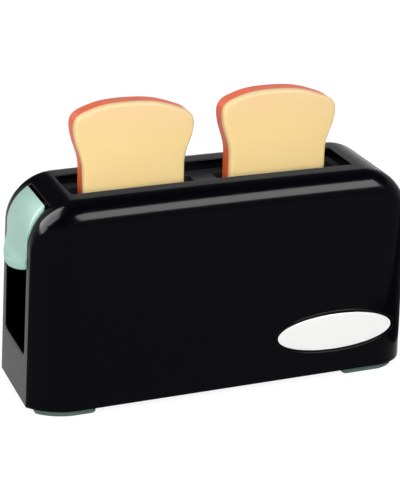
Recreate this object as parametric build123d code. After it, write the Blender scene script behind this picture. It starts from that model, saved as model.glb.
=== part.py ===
from build123d import *
import math
import os

os.makedirs("parts", exist_ok=True)

# A toy toaster with one long slot, two toy slices and a sprung lever.
# Millimetres. +X runs along the toaster away from the lever, the front faces -Y, +Z is up.
# The origin is on the table, under the middle of the housing.

# ---- Housing: one moulded shell, open at the bottom ----
LENGTH = 200.0          # at the rim
DEPTH = 67.6            # at the rim
TOP_Z = 106.6           # crown of the top
RIM_Z = 4.0             # the rim stands clear of the table on the feet
CROWN = 0.7             # the top falls this much from its middle to its ends
LEFT_DRAFT = 0.04       # the lever end leans in by this much per mm of height
RIGHT_DRAFT = 0.05      # so does the other end
FACE_DRAFT = 0.03       # and so do the front and the back
WALL = 2.2
LEFT_CORNER_R = 23.0    # top corners, seen from the front
RIGHT_CORNER_R = 22.0
EDGE_R = 11.0           # round edge between the faces and the top
RIM_CORNER_R = 18.0     # upright corners at the right end, at the rim
CORNER_BLEND_Z = 76.0   # height at which those corners have shrunk to EDGE_R
CHEEK_R = 29.0          # sweep of the front and back towards the lever end
END_HALF_WIDTH = 22.4   # flat of the lever end, from its middle to its crisp edge

# ---- Slot, and the guide moulding under it ----
SLOT_LEFT = 25.4        # from the lever end of the rim to the slot
SLOT_RIGHT = 30.2       # from the other end
SLOT_WIDTH = 26.5
SKIRT_WALL = 2.0        # wall that hangs from the slot's edge
LEDGE_DEPTH = 4.9       # from the crown down to the guide's ledge
LEDGE_T = 1.8
POCKET_END = 3.85       # ledge between an end of the slot and a pocket
POCKET_BRIDGE = 11.7    # ledge between the two pockets
POCKET_CORNER_R = 1.0
WELL_WALL = 1.6
WELL_DEPTH = 25.0       # from the ledge to the bottom edge of the pocket walls

# ---- Lever window in the end wall ----
WINDOW_WIDTH = 34.0
WINDOW_HEAD = 29.4      # width at its top end
WINDOW_HEAD_RISE = 20.0  # the window narrows over this height, below the top
WINDOW_Z = 29.0
WINDOW_TOP_X = 14.5     # the window runs over the corner to here, from the end of the rim
WINDOW_CORNER_R = 1.5

# ---- Lever ----
LEVER_GAP = 0.6         # to each side of the window
LEVER_TOP_GAP = 1.8     # to the top end of the window, and to its sides there
LEVER_T = 2.4
LEVER_PROUD = 0.8       # stands out from the end wall
LIP_PROUD = 4.35        # the thumb lip's middle, from the face of the lever
LIP_T = 3.6
LIP_RISE = 6.5          # hollow sweep from the face into the lip
LIP_DROOP = 2.8         # the lip's middle hangs this much lower than its ends
LIP_CORNER_R = 2.5
PLAN_PAST = 0.1         # the rounded plan passes the lever's side faces by this much
TRAVEL = 34.0           # of the lever and the carriage, straight down
TRAVEL_STOP = 6.7       # left under the lever when it is down

# ---- Carriage, rods, springs and buffers ----
ROD_R = 2.5
ROD_TO_SLOT = 6.8       # from each end of the slot to the rod beyond it
ROD_FIT = 0.08          # radial running clearance of the sleeves
SEAT_FIT = 0.05         # radial clearance of what is pushed into a socket
SLEEVE_WALL = 2.3
SLEEVE_LENGTH = 24.6
BUFFER_T = 2.2
ROD_BOSS_R = 4.0
ROD_BOSS_LENGTH = 7.0   # of bore over the rod's upper end
SHELF_Z = 72.4          # top of the carriage's shelves, lever up
SHELF_T = 2.6
SHELF_OVER = 0.7        # the shelves reach this far past a slice's foot
SHELF_LIP_T = 1.2
SHELF_LIP_HEIGHT = 2.6
BEAM_WIDTH = 9.0
KEEL_T = 1.6
KEEL_DEPTH = 5.0
LUG_T = 2.4             # plate that the lever is screwed to
LUG_WIDTH = 25.0
LUG_HEIGHT = 19.0
SPRING_WIRE_R = 0.45
SPRING_GAP = 0.9        # between the rod and the inside of the coil
SPRING_TURNS = 7

# ---- Toy slices ----
SLICE_HEIGHT = 72.6
SLICE_THICKNESS = 11.6
SLICE_END_GAP = 1.55    # from the shoulders to the pocket's ends
SLICE_SIDE_GAP = 0.8    # from the faces to the pocket's sides
SLICE_FLARE = 4.4       # each shoulder is this much wider than the foot
SLICE_WAIST_Z = 40.0    # height at which the sides start to flare
SLICE_SHOULDER_Z = 61.0
SLICE_SKEW = 2.0        # the shoulder away from the lever is this much lower
SLICE_ROUND_X = 6.6     # where the shoulder's curve turns into the dome
SLICE_ROUND_Z = 7.6
SLICE_SHIFT = -1.0      # from the middle of the pocket, along X
CRUMB_T = 3.2
CRUMB_EDGE_R = 1.7
CRUST_WALL = 2.0
CRUST_EDGE_R = 1.4
SLICE_PEG_R = 2.0
SLICE_PEG_LENGTH = 4.0
SLICE_PEG_Z = (14.0, 54.0)

# ---- Base plate and feet ----
BASE_T = 2.4
BASE_RECESS = 0.6       # the plate sits this far inside the rim
BASE_RIB_T = 1.2
BASE_RIB_HEIGHT = 4.0
BASE_RIB_Y = 12.0
SOCKET_WALL = 2.0
SOCKET_HEIGHT = 12.0    # of each rod socket above the plate
SOCKET_FLOOR = 1.6
FOOT_LEFT = 4.4         # from the lever end of the rim to the left feet
FOOT_RIGHT = 7.8        # from the other end to the right feet
FOOT_LENGTH = 28.4
FOOT_INSET = 2.8        # from the outside of the rim
FOOT_INNER_Y = 14.0
FOOT_EDGE = 0.6         # chamfer round the sole
FOOT_CORNER_R = 2.5
FOOT_PEG_R = 2.0
FOOT_PEG_SPACING = 12.0

# ---- Screws ----
SCREW_R = 1.15
SCREW_PILOT_GAP = 0.05
SCREW_HOLE_GAP = 0.35
SCREW_HEAD_R = 2.3
SCREW_HEAD_H = 1.4
SCREW_BOSS_R = 3.2
BASE_SCREW_END = 45.0   # from each end of the rim to the base screws
BASE_SCREW_SIDE = 7.2   # from the front and the back of the rim
BASE_SCREW_LENGTH = 10.0
BASE_BOSS_HEIGHT = 20.0
GUIDE_SCREW_END = 14.2  # from each end of the slot to the guide screws
GUIDE_SCREW_OUT = 7.35  # from the sides of the slot
GUIDE_SCREW_LENGTH = 4.6
LEVER_SCREW_Y = 8.6
LEVER_SCREW_RISE = 6.7  # above the lip's underside
LEVER_SCREW_LENGTH = 8.4

# ---- Oval badge, left bare ----
BADGE_END = 43.6        # from the end of the rim to the middle of the badge
BADGE_Z = 26.1
BADGE_LENGTH = 62.0
BADGE_HEIGHT = 19.2
BADGE_T = 1.3
BADGE_SEAT = 0.9        # depth of its recess
BADGE_GAP = 0.25
BADGE_RIM = 1.5
BADGE_RIM_PROUD = 0.5

SEAT_GAP = 0.3          # between pieces that only lie near each other
REACH = 20.0            # how far cutting tools run past what they cut

# ---- Worked out from the sizes above ----
SLOT_LENGTH = LENGTH - SLOT_LEFT - SLOT_RIGHT
SLOT_X = (SLOT_LEFT - SLOT_RIGHT) / 2
POCKET_LENGTH = (SLOT_LENGTH - POCKET_BRIDGE) / 2 - POCKET_END
POCKET_PITCH = POCKET_LENGTH + POCKET_BRIDGE
POCKET_WIDTH = SLICE_THICKNESS + 2 * SLICE_SIDE_GAP
SLICE_HEAD = POCKET_LENGTH - 2 * SLICE_END_GAP
SLICE_WAIST = SLICE_HEAD - 2 * SLICE_FLARE
SHELF_LENGTH = SLICE_WAIST + 2 * SHELF_OVER
LEVER_LOW_Z = WINDOW_Z + TRAVEL_STOP + TRAVEL
LEVER_SCREW_Z = LEVER_LOW_Z + LEVER_SCREW_RISE
BADGE_X = LENGTH / 2 - BADGE_END
LEDGE_Z = TOP_Z - LEDGE_DEPTH
WELL_Z = LEDGE_Z - WELL_DEPTH
POCKET_XS = [SLOT_X - POCKET_PITCH / 2, SLOT_X + POCKET_PITCH / 2]
ROD_XS = [SLOT_X - SLOT_LENGTH / 2 - ROD_TO_SLOT, SLOT_X + SLOT_LENGTH / 2 + ROD_TO_SLOT]
BASE_Z = RIM_Z + BASE_RECESS
BASE_TOP_Z = BASE_Z + BASE_T
SOCKET_TOP_Z = BASE_TOP_Z + SOCKET_HEIGHT
SLEEVE_R = ROD_R + ROD_FIT + SLEEVE_WALL
SLEEVE_LOW_Z = SHELF_Z - SHELF_T - KEEL_DEPTH
SLEEVE_TOP_Z = SLEEVE_LOW_Z + SLEEVE_LENGTH
ROD_BOSS_Z = SLEEVE_TOP_Z + BUFFER_T + 2 * SEAT_FIT
ROD_LOW_Z = BASE_TOP_Z + SOCKET_FLOOR
ROD_TOP_Z = ROD_BOSS_Z + ROD_BOSS_LENGTH - SEAT_GAP
SLICE_Z = SHELF_Z + SEAT_GAP
WINDOW_TOP = -LENGTH / 2 + WINDOW_TOP_X
LUG_X = ROD_XS[0] - SLEEVE_R - LUG_T / 2


def end_x(z, side):
    """Distance of an end of the housing from the middle at height z: side -1 is the lever end."""
    draft = LEFT_DRAFT if side < 0 else RIGHT_DRAFT
    return LENGTH / 2 - draft * (z - RIM_Z)


def face_y(z):
    """Half depth of the housing's outside at height z."""
    return DEPTH / 2 - FACE_DRAFT * (z - RIM_Z)


def box_between(x0, x1, y0, y1, z0, z1):
    """Box with the given faces."""
    middle = Pos((x0 + x1) / 2, (y0 + y1) / 2, (z0 + z1) / 2)
    return middle * Box(x1 - x0, y1 - y0, z1 - z0)


def upright_cylinder(x, y, radius, z0, z1):
    """Cylinder along Z between two heights."""
    return Pos(x, y, (z0 + z1) / 2) * Cylinder(radius, z1 - z0)


def name_solid(shape, node):
    """Write one node's STEP file."""
    shape.label = node
    export_step(shape, f"parts/{node}.step")


# ------------------------------------------------------------ housing
def side_profile(inset, low_z):
    """Front view of the shell: leaning ends, crowned top and two round top corners."""
    top = TOP_Z - inset
    high_z = top - CROWN
    low = [side * (end_x(low_z, side) - inset) for side in (-1, 1)]
    high = [side * (end_x(high_z, side) - inset) for side in (-1, 1)]
    with BuildSketch(Plane.XZ) as sketch:
        with BuildLine():
            Line((low[0], low_z), (high[0], high_z))
            ThreePointArc((high[0], high_z), (0, top), (high[1], high_z))
            Line((high[1], high_z), (low[1], low_z))
            Line((low[1], low_z), (low[0], low_z))
        make_face()
        for corner_x, radius in zip(high, (LEFT_CORNER_R, RIGHT_CORNER_R)):
            near_top = [v for v in sketch.vertices() if v.Y > top - 2 * CROWN]
            corner = [v for v in near_top if abs(v.X - corner_x) < CROWN]
            fillet(corner, radius - inset)
    return sketch.sketch


def plan_outline(z, inset):
    """Plan of the shell at height z: round right corners, swept cheeks at the lever end."""
    end = end_x(z, -1)
    y = face_y(z)
    shrink = (RIM_CORNER_R - EDGE_R) * (z - RIM_Z) / (CORNER_BLEND_Z - RIM_Z)
    corner = RIM_CORNER_R - shrink - inset
    cheek_y = y - CHEEK_R
    cheek_x = -end + math.sqrt(CHEEK_R ** 2 - (END_HALF_WIDTH - cheek_y) ** 2)
    cheek = CHEEK_R - inset
    left = -end + inset
    right = end_x(z, 1) - inset
    side = y - inset
    end_y = cheek_y + math.sqrt(cheek ** 2 - (cheek_x - left) ** 2)
    with BuildSketch(Plane.XY.offset(z)) as sketch:
        with BuildLine():
            Line((cheek_x, -side), (right - corner, -side))
            RadiusArc((right - corner, -side), (right, -side + corner), -corner)
            Line((right, -side + corner), (right, side - corner))
            RadiusArc((right, side - corner), (right - corner, side), -corner)
            Line((right - corner, side), (cheek_x, side))
            RadiusArc((cheek_x, side), (left, end_y), -cheek)
            Line((left, end_y), (left, -end_y))
            RadiusArc((left, -end_y), (cheek_x, -side), -cheek)
        make_face()
    return sketch.sketch


def loaf(inset, low_z):
    """Closed form of the shell, moved inwards by inset: profile, drafted faces, then the plan."""
    high_z = TOP_Z + REACH
    body = extrude(side_profile(inset, low_z), amount=DEPTH, both=True)
    with BuildSketch(Plane.YZ) as section:
        low_y = face_y(low_z) - inset
        high_y = face_y(high_z) - inset
        with BuildLine():
            Polyline((-low_y, low_z), (-high_y, high_z), (high_y, high_z), (low_y, low_z), close=True)
        make_face()
    body = body & extrude(section.sketch, amount=LENGTH, both=True)
    edges = []
    for face in body.faces():
        if abs(face.normal_at().Y) > 0.9:
            edges += [e for e in face.edges() if e.center().Z > low_z + 1]
    body = fillet(edges, EDGE_R - inset)
    return body & loft([plan_outline(low_z, inset), plan_outline(TOP_Z + 1, inset)], ruled=True)


def badge_plane():
    """Plane on the leaning front face, at the middle of the badge."""
    origin = (BADGE_X, -face_y(BADGE_Z), BADGE_Z)
    return Plane(origin=origin, x_dir=(1, 0, 0), z_dir=(0, -1, FACE_DRAFT))


def badge_oval(grow):
    """Oval of the badge, larger by grow all round."""
    return Ellipse(BADGE_LENGTH / 2 + grow, BADGE_HEIGHT / 2 + grow)


def base_screw_spots():
    """Where the four base screws go."""
    x = LENGTH / 2 - BASE_SCREW_END
    y = DEPTH / 2 - BASE_SCREW_SIDE
    return [(end * x, side * y) for end in (-1, 1) for side in (-1, 1)]


def guide_screw_spots():
    """Where the four screws of the slot guide go."""
    x = SLOT_LENGTH / 2 - GUIDE_SCREW_END
    y = SLOT_WIDTH / 2 + GUIDE_SCREW_OUT
    return [(SLOT_X + end * x, side * y) for end in (-1, 1) for side in (-1, 1)]


def slot_box(grow, z0, z1):
    """Upright box on the slot's outline, larger by grow."""
    half_x = SLOT_LENGTH / 2 + grow
    half_y = SLOT_WIDTH / 2 + grow
    return box_between(SLOT_X - half_x, SLOT_X + half_x, -half_y, half_y, z0, z1)


def housing_bosses():
    """Everything that hangs inside the shell: skirt, rod bosses and screw columns with their webs."""
    parts = slot_box(SKIRT_WALL, LEDGE_Z, TOP_Z)
    for x in ROD_XS:
        parts += upright_cylinder(x, 0, ROD_BOSS_R, ROD_BOSS_Z, TOP_Z)
    for x, y in guide_screw_spots():
        parts += upright_cylinder(x, y, SCREW_BOSS_R, LEDGE_Z, TOP_Z)
    web = WALL / 2
    boss_top = BASE_TOP_Z + BASE_BOSS_HEIGHT
    for x, y in base_screw_spots():
        parts += upright_cylinder(x, y, SCREW_BOSS_R, BASE_TOP_Z, boss_top)
        outer = math.copysign(DEPTH / 2, y)
        parts += box_between(x - web, x + web, min(y, outer), max(y, outer), BASE_TOP_Z, boss_top)
    return parts


def tongue(half, half_head, low_z, droop):
    """Solid seen along X: upright sides that draw in towards the head, over a bowed lower edge."""
    bend_z = TOP_Z - WINDOW_HEAD_RISE
    middle = (half - (half - half_head) / 4, bend_z + WINDOW_HEAD_RISE / 2)
    with BuildSketch(Plane.YZ) as sketch:
        with BuildLine():
            Line((half, low_z + droop), (half, bend_z))
            ThreePointArc((half, bend_z), middle, (half_head, TOP_Z))
            Polyline((half_head, TOP_Z), (half_head, TOP_Z + REACH), (-half_head, TOP_Z + REACH), (-half_head, TOP_Z))
            ThreePointArc((-half_head, TOP_Z), (-middle[0], middle[1]), (-half, bend_z))
            Line((-half, bend_z), (-half, low_z + droop))
            if droop:
                ThreePointArc((-half, low_z + droop), (0, low_z), (half, low_z + droop))
            else:
                Line((-half, low_z), (half, low_z))
        make_face()
    return extrude(sketch.sketch, amount=-LENGTH)


def build_housing():
    """Moulded shell with slot, skirt, lever window, badge seat, bosses and webs."""
    outside = loaf(0, RIM_Z)
    shell = outside - loaf(WALL, RIM_Z - REACH)
    shell += housing_bosses() & outside
    rim = extrude(badge_plane() * badge_oval(BADGE_RIM), amount=BADGE_RIM_PROUD)
    rim += extrude(badge_plane() * badge_oval(BADGE_RIM), amount=-WALL / 2)
    shell += rim
    shell -= extrude(badge_plane() * badge_oval(BADGE_GAP), amount=REACH)
    shell -= extrude(badge_plane() * badge_oval(BADGE_GAP), amount=-BADGE_SEAT)
    shell -= slot_box(0, LEDGE_Z - REACH, TOP_Z + REACH)
    window = tongue(WINDOW_WIDTH / 2, WINDOW_HEAD / 2, WINDOW_Z, 0)
    low_edges = window.edges().filter_by(Axis.X).group_by(Axis.Z)[0]
    window = fillet(low_edges, WINDOW_CORNER_R)
    shell -= window & box_between(-LENGTH, WINDOW_TOP, -DEPTH, DEPTH, 0, TOP_Z + REACH)
    for x in ROD_XS:
        shell -= upright_cylinder(x, 0, ROD_R + SEAT_FIT, ROD_BOSS_Z - 1, ROD_BOSS_Z + ROD_BOSS_LENGTH)
    pilot = SCREW_R + SCREW_PILOT_GAP
    for x, y in guide_screw_spots():
        shell -= upright_cylinder(x, y, pilot, LEDGE_Z - 1, LEDGE_Z - LEDGE_T + GUIDE_SCREW_LENGTH + SEAT_GAP)
    for x, y in base_screw_spots():
        shell -= upright_cylinder(x, y, pilot, BASE_TOP_Z - 1, BASE_TOP_Z + BASE_SCREW_LENGTH)
    return shell


# ------------------------------------------------------------ slot guide
def pocket(x, grow, z0, z1):
    """Upright prism on one pocket's rounded outline, larger by grow."""
    outline = RectangleRounded(POCKET_LENGTH + 2 * grow, POCKET_WIDTH + 2 * grow, POCKET_CORNER_R + grow)
    return extrude(Pos(x, 0, z0) * outline, amount=z1 - z0)


def build_slot_guide():
    """Ledge under the slot with two pockets whose walls hang down around the slices."""
    half_x = SLOT_LENGTH / 2 + SKIRT_WALL
    half_y = SLOT_WIDTH / 2 + SKIRT_WALL
    low = LEDGE_Z - LEDGE_T
    guide = box_between(SLOT_X - half_x, SLOT_X + half_x, -half_y, half_y, low, LEDGE_Z)
    for x, y in guide_screw_spots():
        guide += box_between(x - SCREW_BOSS_R, x + SCREW_BOSS_R, min(0, y), max(0, y), low, LEDGE_Z)
        guide += upright_cylinder(x, y, SCREW_BOSS_R, low, LEDGE_Z)
    for x in POCKET_XS:
        guide += pocket(x, WELL_WALL, WELL_Z, LEDGE_Z)
    for x in POCKET_XS:
        guide -= pocket(x, 0, WELL_Z - 1, LEDGE_Z + 1)
    for x, y in guide_screw_spots():
        guide -= upright_cylinder(x, y, SCREW_R + SCREW_HOLE_GAP, low - 1, LEDGE_Z + 1)
    return guide


# ------------------------------------------------------------ base and feet
def build_base_plate():
    """Plate that closes the bottom: rod sockets, a frame of ribs, countersunk screw and peg holes."""
    outline = plan_outline(BASE_TOP_Z, WALL + SEAT_GAP)
    plate = extrude(Pos(0, 0, BASE_Z - BASE_TOP_Z) * outline, amount=BASE_T)
    for side in (-1, 1):
        y = side * BASE_RIB_Y
        rib_end = ROD_XS[1]
        rib = (ROD_XS[0], rib_end, y - BASE_RIB_T / 2, y + BASE_RIB_T / 2)
        plate += box_between(*rib, BASE_TOP_Z, BASE_TOP_Z + BASE_RIB_HEIGHT)
    cross_x = LENGTH / 2 - BASE_SCREW_END
    for x in ROD_XS + [-cross_x, cross_x]:
        rib = (x - BASE_RIB_T / 2, x + BASE_RIB_T / 2, -BASE_RIB_Y, BASE_RIB_Y)
        plate += box_between(*rib, BASE_TOP_Z, BASE_TOP_Z + BASE_RIB_HEIGHT)
    for x in ROD_XS:
        plate += upright_cylinder(x, 0, ROD_R + SEAT_FIT + SOCKET_WALL, BASE_TOP_Z, SOCKET_TOP_Z)
        plate -= upright_cylinder(x, 0, ROD_R + SEAT_FIT, ROD_LOW_Z, SOCKET_TOP_Z + 1)
    for x, y in base_screw_spots():
        plate -= upright_cylinder(x, y, SCREW_R + SCREW_HOLE_GAP, BASE_Z - 1, BASE_TOP_Z + 1)
        head = SCREW_HEAD_R + SCREW_HOLE_GAP
        plate -= upright_cylinder(x, y, head, BASE_Z - 1, BASE_Z + SCREW_HEAD_H)
    for x, y in foot_peg_spots():
        plate -= upright_cylinder(x, y, FOOT_PEG_R + SEAT_FIT, BASE_Z - 1, BASE_TOP_Z + 1)
    return plate


def foot_middles():
    """X of the middle of the left and of the right feet."""
    outer = LENGTH / 2 - FOOT_LENGTH / 2
    return [FOOT_LEFT - outer, outer - FOOT_RIGHT]


def foot_peg_y():
    """Y of the pegs: half way between the foot's inner and outer sides."""
    return (FOOT_INNER_Y + DEPTH / 2 - FOOT_INSET) / 2 - FOOT_CORNER_R / 2


def foot_peg_spots():
    """Where the feet's pegs go through the base plate."""
    spots = []
    for x in foot_middles():
        for side in (-1, 1):
            for along in (-0.5, 0.5):
                spots.append((x + along * FOOT_PEG_SPACING, side * foot_peg_y()))
    return spots


def build_foot(x, side):
    """Corner foot: a pad that follows the rim's outline, with two pegs into the base plate."""
    outline = plan_outline(RIM_Z, FOOT_INSET)
    pad = extrude(Pos(0, 0, -RIM_Z) * outline, amount=BASE_Z)
    far = DEPTH
    near = side * FOOT_INNER_Y
    keep = box_between(
        x - FOOT_LENGTH / 2, x + FOOT_LENGTH / 2, min(near, side * far), max(near, side * far), -1, BASE_Z + 1
    )
    pad = pad & keep
    inner = [e for e in pad.edges().filter_by(Axis.Z) if abs(abs(e.center().Y) - FOOT_INNER_Y) < 0.01]
    pad = fillet(inner, FOOT_CORNER_R)
    outer = [e for e in pad.edges().filter_by(Axis.Z) if abs(e.center().Y) > DEPTH / 2 - CHEEK_R]
    outer = [e for e in outer if abs(e.center().X - x) > FOOT_LENGTH / 2 - 0.01]
    outer = [e for e in outer if abs(e.center().Y) > foot_peg_y() + FOOT_PEG_R]
    pad = fillet(outer, FOOT_CORNER_R)
    pad = chamfer(pad.faces().sort_by(Axis.Z)[0].edges(), FOOT_EDGE)
    for along in (-0.5, 0.5):
        peg_x = x + along * FOOT_PEG_SPACING
        pad += upright_cylinder(peg_x, side * foot_peg_y(), FOOT_PEG_R, BASE_Z - 1, BASE_TOP_Z)
    return pad


# ------------------------------------------------------------ lever and carriage
def left_corner():
    """Centre of the round top corner at the lever end, as (x, z)."""
    arcs = side_profile(0, RIM_Z).edges().filter_by(GeomType.CIRCLE).sort_by(Axis.X)
    centre = arcs[0].arc_center
    return centre.X, centre.Z


def lever_profile():
    """Front view of the lever: round the corner, down the end wall, then out in a hollow sweep past the lip."""
    corner_x, corner_z = left_corner()
    outer_r = LEFT_CORNER_R + LEVER_PROUD
    inner_r = outer_r - LEVER_T
    slope = math.hypot(1, LEFT_DRAFT)
    wall = (-1 / slope, LEFT_DRAFT / slope)
    top_x = WINDOW_TOP - LEVER_TOP_GAP
    face_x = lever_face_x()
    nose_x = face_x - LIP_PROUD - 1
    lip_top = LEVER_LOW_Z + LIP_T
    cut_z = LEVER_LOW_Z - LIP_T

    def on_arc(radius, x):
        return (x, corner_z + math.sqrt(radius ** 2 - (x - corner_x) ** 2))

    def on_wall(radius):
        return (corner_x + radius * wall[0], corner_z + radius * wall[1])

    def half_way(radius):
        tilt = (math.asin((corner_x - top_x) / radius) + math.pi / 2 - math.atan(LEFT_DRAFT)) / 2
        return (corner_x - radius * math.sin(tilt), corner_z + radius * math.cos(tilt))

    def down_wall(outward, z):
        return (-end_x(z, -1) - outward * slope, z)

    sweep_start = down_wall(LEVER_PROUD, lip_top + LIP_RISE)
    root = down_wall(LEVER_PROUD - LEVER_T, cut_z)
    with BuildSketch(Plane.XZ) as sketch:
        with BuildLine():
            ThreePointArc(on_arc(outer_r, top_x), half_way(outer_r), on_wall(outer_r))
            Line(on_wall(outer_r), sweep_start)
            Spline(sweep_start, (nose_x, lip_top), tangents=[(-LEFT_DRAFT, -1), (-1, -0.3)])
            Polyline((nose_x, lip_top), (nose_x, cut_z), root)
            Line(root, on_wall(inner_r))
            ThreePointArc(on_wall(inner_r), half_way(inner_r), on_arc(inner_r, top_x))
            Line(on_arc(inner_r, top_x), on_arc(outer_r, top_x))
        make_face()
    return sketch.sketch


def lever_face_x():
    """X of the lever's face at the height of the lip's underside."""
    return -end_x(LEVER_LOW_Z, -1) - LEVER_PROUD


def lever_plan(half):
    """Plan of the lever: square behind, with the lip bowed out between two round corners."""
    face_x = lever_face_x()
    with BuildSketch() as sketch:
        with BuildLine():
            ThreePointArc((face_x, -half), (face_x - LIP_PROUD, 0), (face_x, half))
            Polyline((face_x, half), (0, half), (0, -half), (face_x, -half))
        make_face()
        corners = [v for v in sketch.vertices() if v.X < -1]
        fillet(corners, LIP_CORNER_R)
    return sketch.sketch


def lever_screw_spots():
    """Y of the two lever screws."""
    return [-LEVER_SCREW_Y, LEVER_SCREW_Y]


def build_lever():
    """Curved plate that fills the window and ends in a bowed thumb lip, with two screw bosses behind."""
    half = WINDOW_WIDTH / 2 - LEVER_GAP
    half_head = WINDOW_HEAD / 2 - LEVER_TOP_GAP
    lever = extrude(lever_profile(), amount=half + 1, both=True)
    lever = lever & tongue(half, half_head, LEVER_LOW_Z, LIP_DROOP)
    lever = lever & extrude(lever_plan(half + PLAN_PAST), amount=TOP_Z + REACH)
    boss_x = LUG_X - LUG_T / 2 - SEAT_FIT
    core = extrude(side_profile(0, RIM_Z), amount=half, both=True)
    depth = LEVER_SCREW_LENGTH - LUG_T + SEAT_GAP
    for y in lever_screw_spots():
        boss = Rot(0, 90, 0) * Cylinder(SCREW_BOSS_R, LENGTH / 2 + boss_x)
        lever += Pos((boss_x - LENGTH / 2) / 2, y, LEVER_SCREW_Z) * boss & core
    for y in lever_screw_spots():
        pilot = Rot(0, 90, 0) * Cylinder(SCREW_R + SCREW_PILOT_GAP, 2 * depth)
        lever -= Pos(boss_x, y, LEVER_SCREW_Z) * pilot
    return lever


def build_carriage():
    """Moulded lifter: a beam with two lipped shelves, a sleeve at each end and the lever's lug."""
    low = SHELF_Z - SHELF_T
    half_beam = BEAM_WIDTH / 2
    carriage = box_between(ROD_XS[0], ROD_XS[1], -half_beam, half_beam, low, SHELF_Z)
    keel = KEEL_T / 2
    carriage += box_between(ROD_XS[0], ROD_XS[1], -keel, keel, low - KEEL_DEPTH, low)
    shelf_y = SLICE_THICKNESS / 2 + 2 * SEAT_GAP
    outer_y = shelf_y + SHELF_LIP_T
    for x in POCKET_XS:
        x0 = x + SLICE_SHIFT - SHELF_LENGTH / 2
        x1 = x + SLICE_SHIFT + SHELF_LENGTH / 2
        carriage += box_between(x0, x1, -outer_y, outer_y, low, SHELF_Z + SHELF_LIP_HEIGHT)
        carriage -= box_between(x0 - 1, x1 + 1, -shelf_y, shelf_y, SHELF_Z, SHELF_Z + REACH)
    for x in ROD_XS:
        carriage += upright_cylinder(x, 0, SLEEVE_R, SLEEVE_LOW_Z, SLEEVE_TOP_Z)
    lug_low = LEVER_SCREW_Z - LUG_HEIGHT / 2
    carriage += box_between(
        LUG_X - LUG_T / 2, LUG_X + LUG_T / 2, -LUG_WIDTH / 2, LUG_WIDTH / 2, lug_low, lug_low + LUG_HEIGHT
    )
    for side in (-1, 1):
        y = side * (half_beam - KEEL_T / 2)
        carriage += box_between(LUG_X, ROD_XS[0], y - KEEL_T / 2, y + KEEL_T / 2, lug_low, lug_low + LUG_HEIGHT)
    for y in lever_screw_spots():
        hole = Rot(0, 90, 0) * Cylinder(SCREW_R + SCREW_HOLE_GAP, 2 * LUG_T)
        carriage -= Pos(LUG_X, y, LEVER_SCREW_Z) * hole
    for x in ROD_XS:
        carriage -= upright_cylinder(x, 0, ROD_R + ROD_FIT, SLEEVE_LOW_Z - 1, SLEEVE_TOP_Z + 1)
    return carriage


def build_guide_rod(x):
    """Steel rod between a socket in the base and a boss under the top, with chamfered ends."""
    rod = upright_cylinder(x, 0, ROD_R, ROD_LOW_Z, ROD_TOP_Z)
    return chamfer(rod.edges().filter_by(GeomType.CIRCLE), ROD_R / 5)


def build_buffer(x):
    """Rubber ring that the sleeve meets at the top of its travel."""
    ring = upright_cylinder(x, 0, SLEEVE_R, SLEEVE_TOP_Z + SEAT_FIT, SLEEVE_TOP_Z + SEAT_FIT + BUFFER_T)
    ring = chamfer(ring.edges().filter_by(GeomType.CIRCLE), BUFFER_T / 5)
    return ring - upright_cylinder(x, 0, ROD_R + SEAT_FIT, SLEEVE_LOW_Z, ROD_TOP_Z)


def build_spring(x):
    """Compression spring on its rod, between the base socket and the sleeve."""
    coil_r = ROD_R + SPRING_GAP + SPRING_WIRE_R
    low = SOCKET_TOP_Z + SPRING_WIRE_R + SEAT_FIT
    high = SLEEVE_LOW_Z - SPRING_WIRE_R - SEAT_FIT
    height = high - low
    path = Helix(pitch=height / SPRING_TURNS, height=height, radius=coil_r)
    section = Plane(origin=path @ 0, z_dir=path % 0) * RegularPolygon(SPRING_WIRE_R, 6)
    wire = sweep(section, path=path, is_frenet=True)
    return Pos(x, 0, low) * wire


# ------------------------------------------------------------ slices
def slice_outline(inset):
    """Front view of a slice, moved inwards: sides that flare to round shoulders under a domed top."""
    half_waist = SLICE_WAIST / 2 - inset
    half_head = SLICE_HEAD / 2 - inset
    left_z = SLICE_SHOULDER_Z + SLICE_SKEW / 2
    right_z = SLICE_SHOULDER_Z - SLICE_SKEW / 2
    left_hip = (-half_waist, SLICE_WAIST_Z)
    right_hip = (half_waist, SLICE_WAIST_Z)
    left_shoulder = (-half_head, left_z)
    right_shoulder = (half_head, right_z)
    crown = (-2 * SLICE_SKEW, SLICE_HEIGHT - inset)
    round_left = (-half_head + SLICE_ROUND_X, left_z + SLICE_ROUND_Z - inset)
    round_right = (half_head - SLICE_ROUND_X, right_z + SLICE_ROUND_Z - inset)
    with BuildSketch() as sketch:
        with BuildLine():
            Line((-half_waist, inset), left_hip)
            Spline(left_hip, left_shoulder, tangents=[(0, 1), (0, 1)])
            Spline(left_shoulder, round_left, crown, tangents=[(0, 1), (1, 0)])
            Spline(crown, round_right, right_shoulder, tangents=[(1, 0), (0, -1)])
            Spline(right_shoulder, right_hip, tangents=[(0, -1), (0, -1)])
            Line(right_hip, (half_waist, inset))
            Line((half_waist, inset), (-half_waist, inset))
        make_face()
    return sketch.sketch


def slice_plane(pocket_x, y):
    """Upright plane of a slice, facing the back, at depth y."""
    return Plane(origin=(pocket_x + SLICE_SHIFT, y, SLICE_Z), x_dir=(1, 0, 0), z_dir=(0, -1, 0))


def slice_pegs(pocket_x, radius, y0, y1):
    """Two pegs along Y that locate the two halves of a slice."""
    pegs = []
    for height in SLICE_PEG_Z:
        place = Pos(pocket_x + SLICE_SHIFT, (y0 + y1) / 2, SLICE_Z + height)
        pegs.append(place * Rot(90, 0, 0) * Cylinder(radius, y1 - y0))
    return pegs


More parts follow.
